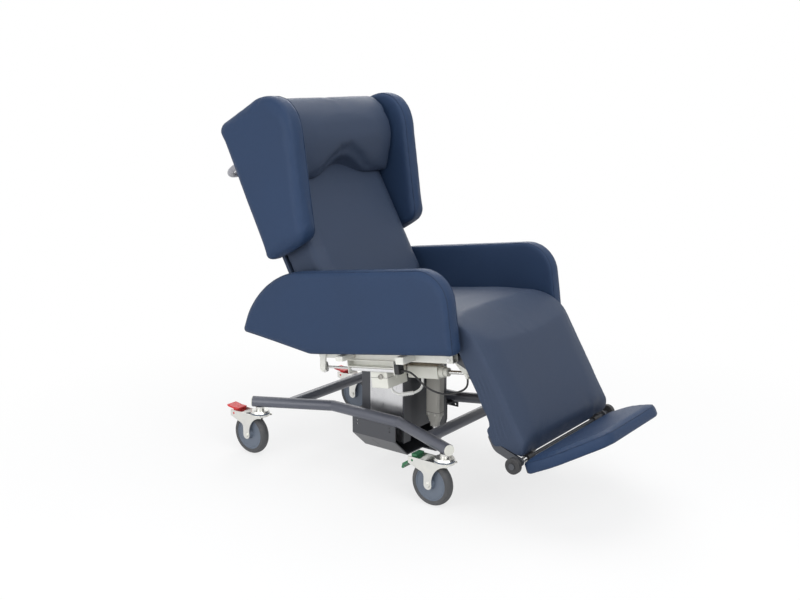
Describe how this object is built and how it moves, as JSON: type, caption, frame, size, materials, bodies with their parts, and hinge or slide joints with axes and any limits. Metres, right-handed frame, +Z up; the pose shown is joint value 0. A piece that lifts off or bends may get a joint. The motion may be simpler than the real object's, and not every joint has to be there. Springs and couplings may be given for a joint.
{
  "type": "care chair",
  "caption": "Reclining care chair with winged back, side arms, legrest and footplate on a lifting, tilting mast over a castor base.",
  "frame": {"origin": "on the floor, under the middle of the whole chair's box", "axes": "the chair faces -Y, +X is the occupant's left, +Z is up"},
  "size_m": [0.694, 1.5156, 1.2767],
  "materials": {
    "slate_paint": "satin slate grey powder coat",
    "dark_paint": "satin dark grey powder coat",
    "stainless": "brushed stainless sheet",
    "cream_plastic": "matt cream moulding",
    "zinc": "zinc plated steel",
    "bright_steel": "bright drawn steel",
    "cream_paint": "satin cream powder coat",
    "actuator_grey": "matt light grey moulding",
    "plywood": "bare plywood",
    "grey_vinyl": "grey navy vinyl cloth, fine grain",
    "blue_vinyl": "blue vinyl cloth, fine grain",
    "chrome": "chromed tube",
    "black_plastic": "matt black moulding",
    "white_plastic": "white cable sheath",
    "black_rubber": "black roller rubber",
    "wheel_plastic": "blue grey moulded disc",
    "grey_tyre": "dark grey non-marking tread",
    "red_plastic": "red moulding",
    "green_plastic": "green moulding"
  },
  "bodies": {
    "base": {"side_rail_right": "slate_paint", "side_rail_left": "slate_paint", "cross_tubes": "slate_paint", "base_pan": "dark_paint", "mast_channel": "dark_paint", "mast_side_covers": "stainless", "rail_end_caps": "cream_plastic", "castor_stems": "zinc", "lift_rod": "bright_steel"},
    "lift_carriage": {"lift_column": "cream_paint", "lift_actuator": "actuator_grey", "tilt_actuator": "actuator_grey"},
    "tilt_drive": {"tilt_rod": "bright_steel"},
    "seat_frame": {"seat_side_rails": "cream_paint", "seat_crossmembers": "cream_paint", "seat_board": "plywood", "seat_cushion": "grey_vinyl", "arm_right": "blue_vinyl", "arm_left": "blue_vinyl", "lock_channel": "cream_paint", "lock_tube": "chrome", "lock_head": "black_plastic", "release_cable": "black_plastic", "control_box": "cream_plastic", "legrest_actuator": "cream_plastic", "motor_lead": "white_plastic", "hinge_pins": "bright_steel"},
    "recline_drive": {"recline_rod": "bright_steel"},
    "backrest": {"back_frame": "cream_paint", "back_panel": "blue_vinyl", "back_cushion": "grey_vinyl", "headrest": "grey_vinyl", "wing_right": "blue_vinyl", "wing_left": "blue_vinyl", "push_handle": "dark_paint"},
    "legrest": {"legrest_frame": "dark_paint", "legrest_cushion": "grey_vinyl", "foot_hinge_rod": "bright_steel", "foot_spring": "bright_steel"},
    "legrest_drive": {"legrest_rod": "bright_steel"},
    "footplate": {"footplate_board": "black_plastic", "footplate_pad": "blue_vinyl"},
    "roller_right": {"floor_roller_right": "black_rubber"},
    "roller_left": {"floor_roller_left": "black_rubber"},
    "castor_front_right": {"castor_front_right_fork": "zinc"},
    "castor_front_right_roll": {"castor_front_right_wheel": "wheel_plastic", "castor_front_right_tyre": "grey_tyre"},
    "castor_front_right_brake": {"castor_front_right_pedal": "green_plastic"},
    "castor_front_left": {"castor_front_left_fork": "zinc"},
    "castor_front_left_roll": {"castor_front_left_wheel": "wheel_plastic", "castor_front_left_tyre": "grey_tyre"},
    "castor_front_left_brake": {"castor_front_left_pedal": "green_plastic"},
    "castor_rear_right": {"castor_rear_right_fork": "zinc"},
    "castor_rear_right_roll": {"castor_rear_right_wheel": "wheel_plastic", "castor_rear_right_tyre": "grey_tyre"},
    "castor_rear_right_brake": {"castor_rear_right_pedal": "red_plastic"},
    "castor_rear_left": {"castor_rear_left_fork": "zinc"},
    "castor_rear_left_roll": {"castor_rear_left_wheel": "wheel_plastic", "castor_rear_left_tyre": "grey_tyre"},
    "castor_rear_left_brake": {"castor_rear_left_pedal": "red_plastic"}
  },
  "joints": [
    {"name": "lift", "type": "slide", "parent": "base", "child": "lift_carriage", "axis": [0, 0, 1], "range_m": [-0.02, 0.15]},
    {"name": "tilt", "type": "hinge", "parent": "lift_carriage", "child": "seat_frame", "pos_m": [0, 0.177, 0.395], "axis": [-1, 0, 0], "range_deg": [0, 18]},
    {"name": "tilt_rod_slide", "type": "slide", "parent": "lift_carriage", "child": "tilt_drive", "axis": [0, 0, 1], "range_m": [-0.001, 0.0282]},
    {"name": "back_recline", "type": "hinge", "parent": "seat_frame", "child": "backrest", "pos_m": [0, 0.26726, 0.48995], "axis": [-1, 0, 0], "range_deg": [-12, 36]},
    {"name": "recline_rod_slide", "type": "slide", "parent": "seat_frame", "child": "recline_drive", "axis": [0, -0.9914, 0.1305], "range_m": [-0.0305, 0.077]},
    {"name": "legrest_raise", "type": "hinge", "parent": "seat_frame", "child": "legrest", "pos_m": [0, -0.23812, 0.48185], "axis": [-1, 0, 0], "range_deg": [-24, 45]},
    {"name": "legrest_rod_slide", "type": "slide", "parent": "seat_frame", "child": "legrest_drive", "axis": [0, -0.9914, 0.1305], "range_m": [-0.034, 0.063]},
    {"name": "footplate_fold", "type": "hinge", "parent": "legrest", "child": "footplate", "pos_m": [0, -0.50788, 0.21625], "axis": [-1, 0, 0], "range_deg": [0, 35]},
    {"name": "floor_roller_right_spin", "type": "hinge", "parent": "legrest", "child": "roller_right", "pos_m": [0, -0.50788, 0.21625], "axis": [1, 0, 0], "continuous": true},
    {"name": "floor_roller_left_spin", "type": "hinge", "parent": "legrest", "child": "roller_left", "pos_m": [0, -0.50788, 0.21625], "axis": [1, 0, 0], "continuous": true},
    {"name": "castor_front_right_swivel", "type": "hinge", "parent": "base", "child": "castor_front_right", "pos_m": [-0.2805, -0.23988, 0.16], "axis": [0, 0, 1], "continuous": true},
    {"name": "castor_front_right_spin", "type": "hinge", "parent": "castor_front_right", "child": "castor_front_right_roll", "pos_m": [-0.2805, -0.19487, 0.075], "axis": [1, 0, 0], "continuous": true},
    {"name": "castor_front_right_pedal_press", "type": "hinge", "parent": "castor_front_right", "child": "castor_front_right_brake", "pos_m": [-0.2805, -0.13387, 0.145], "axis": [-1, 0, 0], "range_deg": [0, 12]},
    {"name": "castor_front_left_swivel", "type": "hinge", "parent": "base", "child": "castor_front_left", "pos_m": [0.2805, -0.23988, 0.16], "axis": [0, 0, 1], "continuous": true},
    {"name": "castor_front_left_spin", "type": "hinge", "parent": "castor_front_left", "child": "castor_front_left_roll", "pos_m": [0.2805, -0.19487, 0.075], "axis": [1, 0, 0], "continuous": true},
    {"name": "castor_front_left_pedal_press", "type": "hinge", "parent": "castor_front_left", "child": "castor_front_left_brake", "pos_m": [0.2805, -0.13387, 0.145], "axis": [-1, 0, 0], "range_deg": [0, 12]},
    {"name": "castor_rear_right_swivel", "type": "hinge", "parent": "base", "child": "castor_rear_right", "pos_m": [-0.29848, 0.54981, 0.16], "axis": [0, 0, 1], "continuous": true},
    {"name": "castor_rear_right_spin", "type": "hinge", "parent": "castor_rear_right", "child": "castor_rear_right_roll", "pos_m": [-0.29848, 0.59481, 0.075], "axis": [1, 0, 0], "continuous": true},
    {"name": "castor_rear_right_pedal_press", "type": "hinge", "parent": "castor_rear_right", "child": "castor_rear_right_brake", "pos_m": [-0.29848, 0.65581, 0.145], "axis": [-1, 0, 0], "range_deg": [0, 12]},
    {"name": "castor_rear_left_swivel", "type": "hinge", "parent": "base", "child": "castor_rear_left", "pos_m": [0.29848, 0.54981, 0.16], "axis": [0, 0, 1], "continuous": true},
    {"name": "castor_rear_left_spin", "type": "hinge", "parent": "castor_rear_left", "child": "castor_rear_left_roll", "pos_m": [0.29848, 0.59481, 0.075], "axis": [1, 0, 0], "continuous": true},
    {"name": "castor_rear_left_pedal_press", "type": "hinge", "parent": "castor_rear_left", "child": "castor_rear_left_brake", "pos_m": [0.29848, 0.65581, 0.145], "axis": [-1, 0, 0], "range_deg": [0, 12]}
  ],
  "couplings": [
    {"joint": "tilt_rod_slide", "follows": "tilt", "m_per_rad": 0.087},
    {"joint": "recline_rod_slide", "follows": "back_recline", "m_per_rad": 0.1203},
    {"joint": "legrest_rod_slide", "follows": "legrest_raise", "m_per_rad": 0.07847}
  ]
}
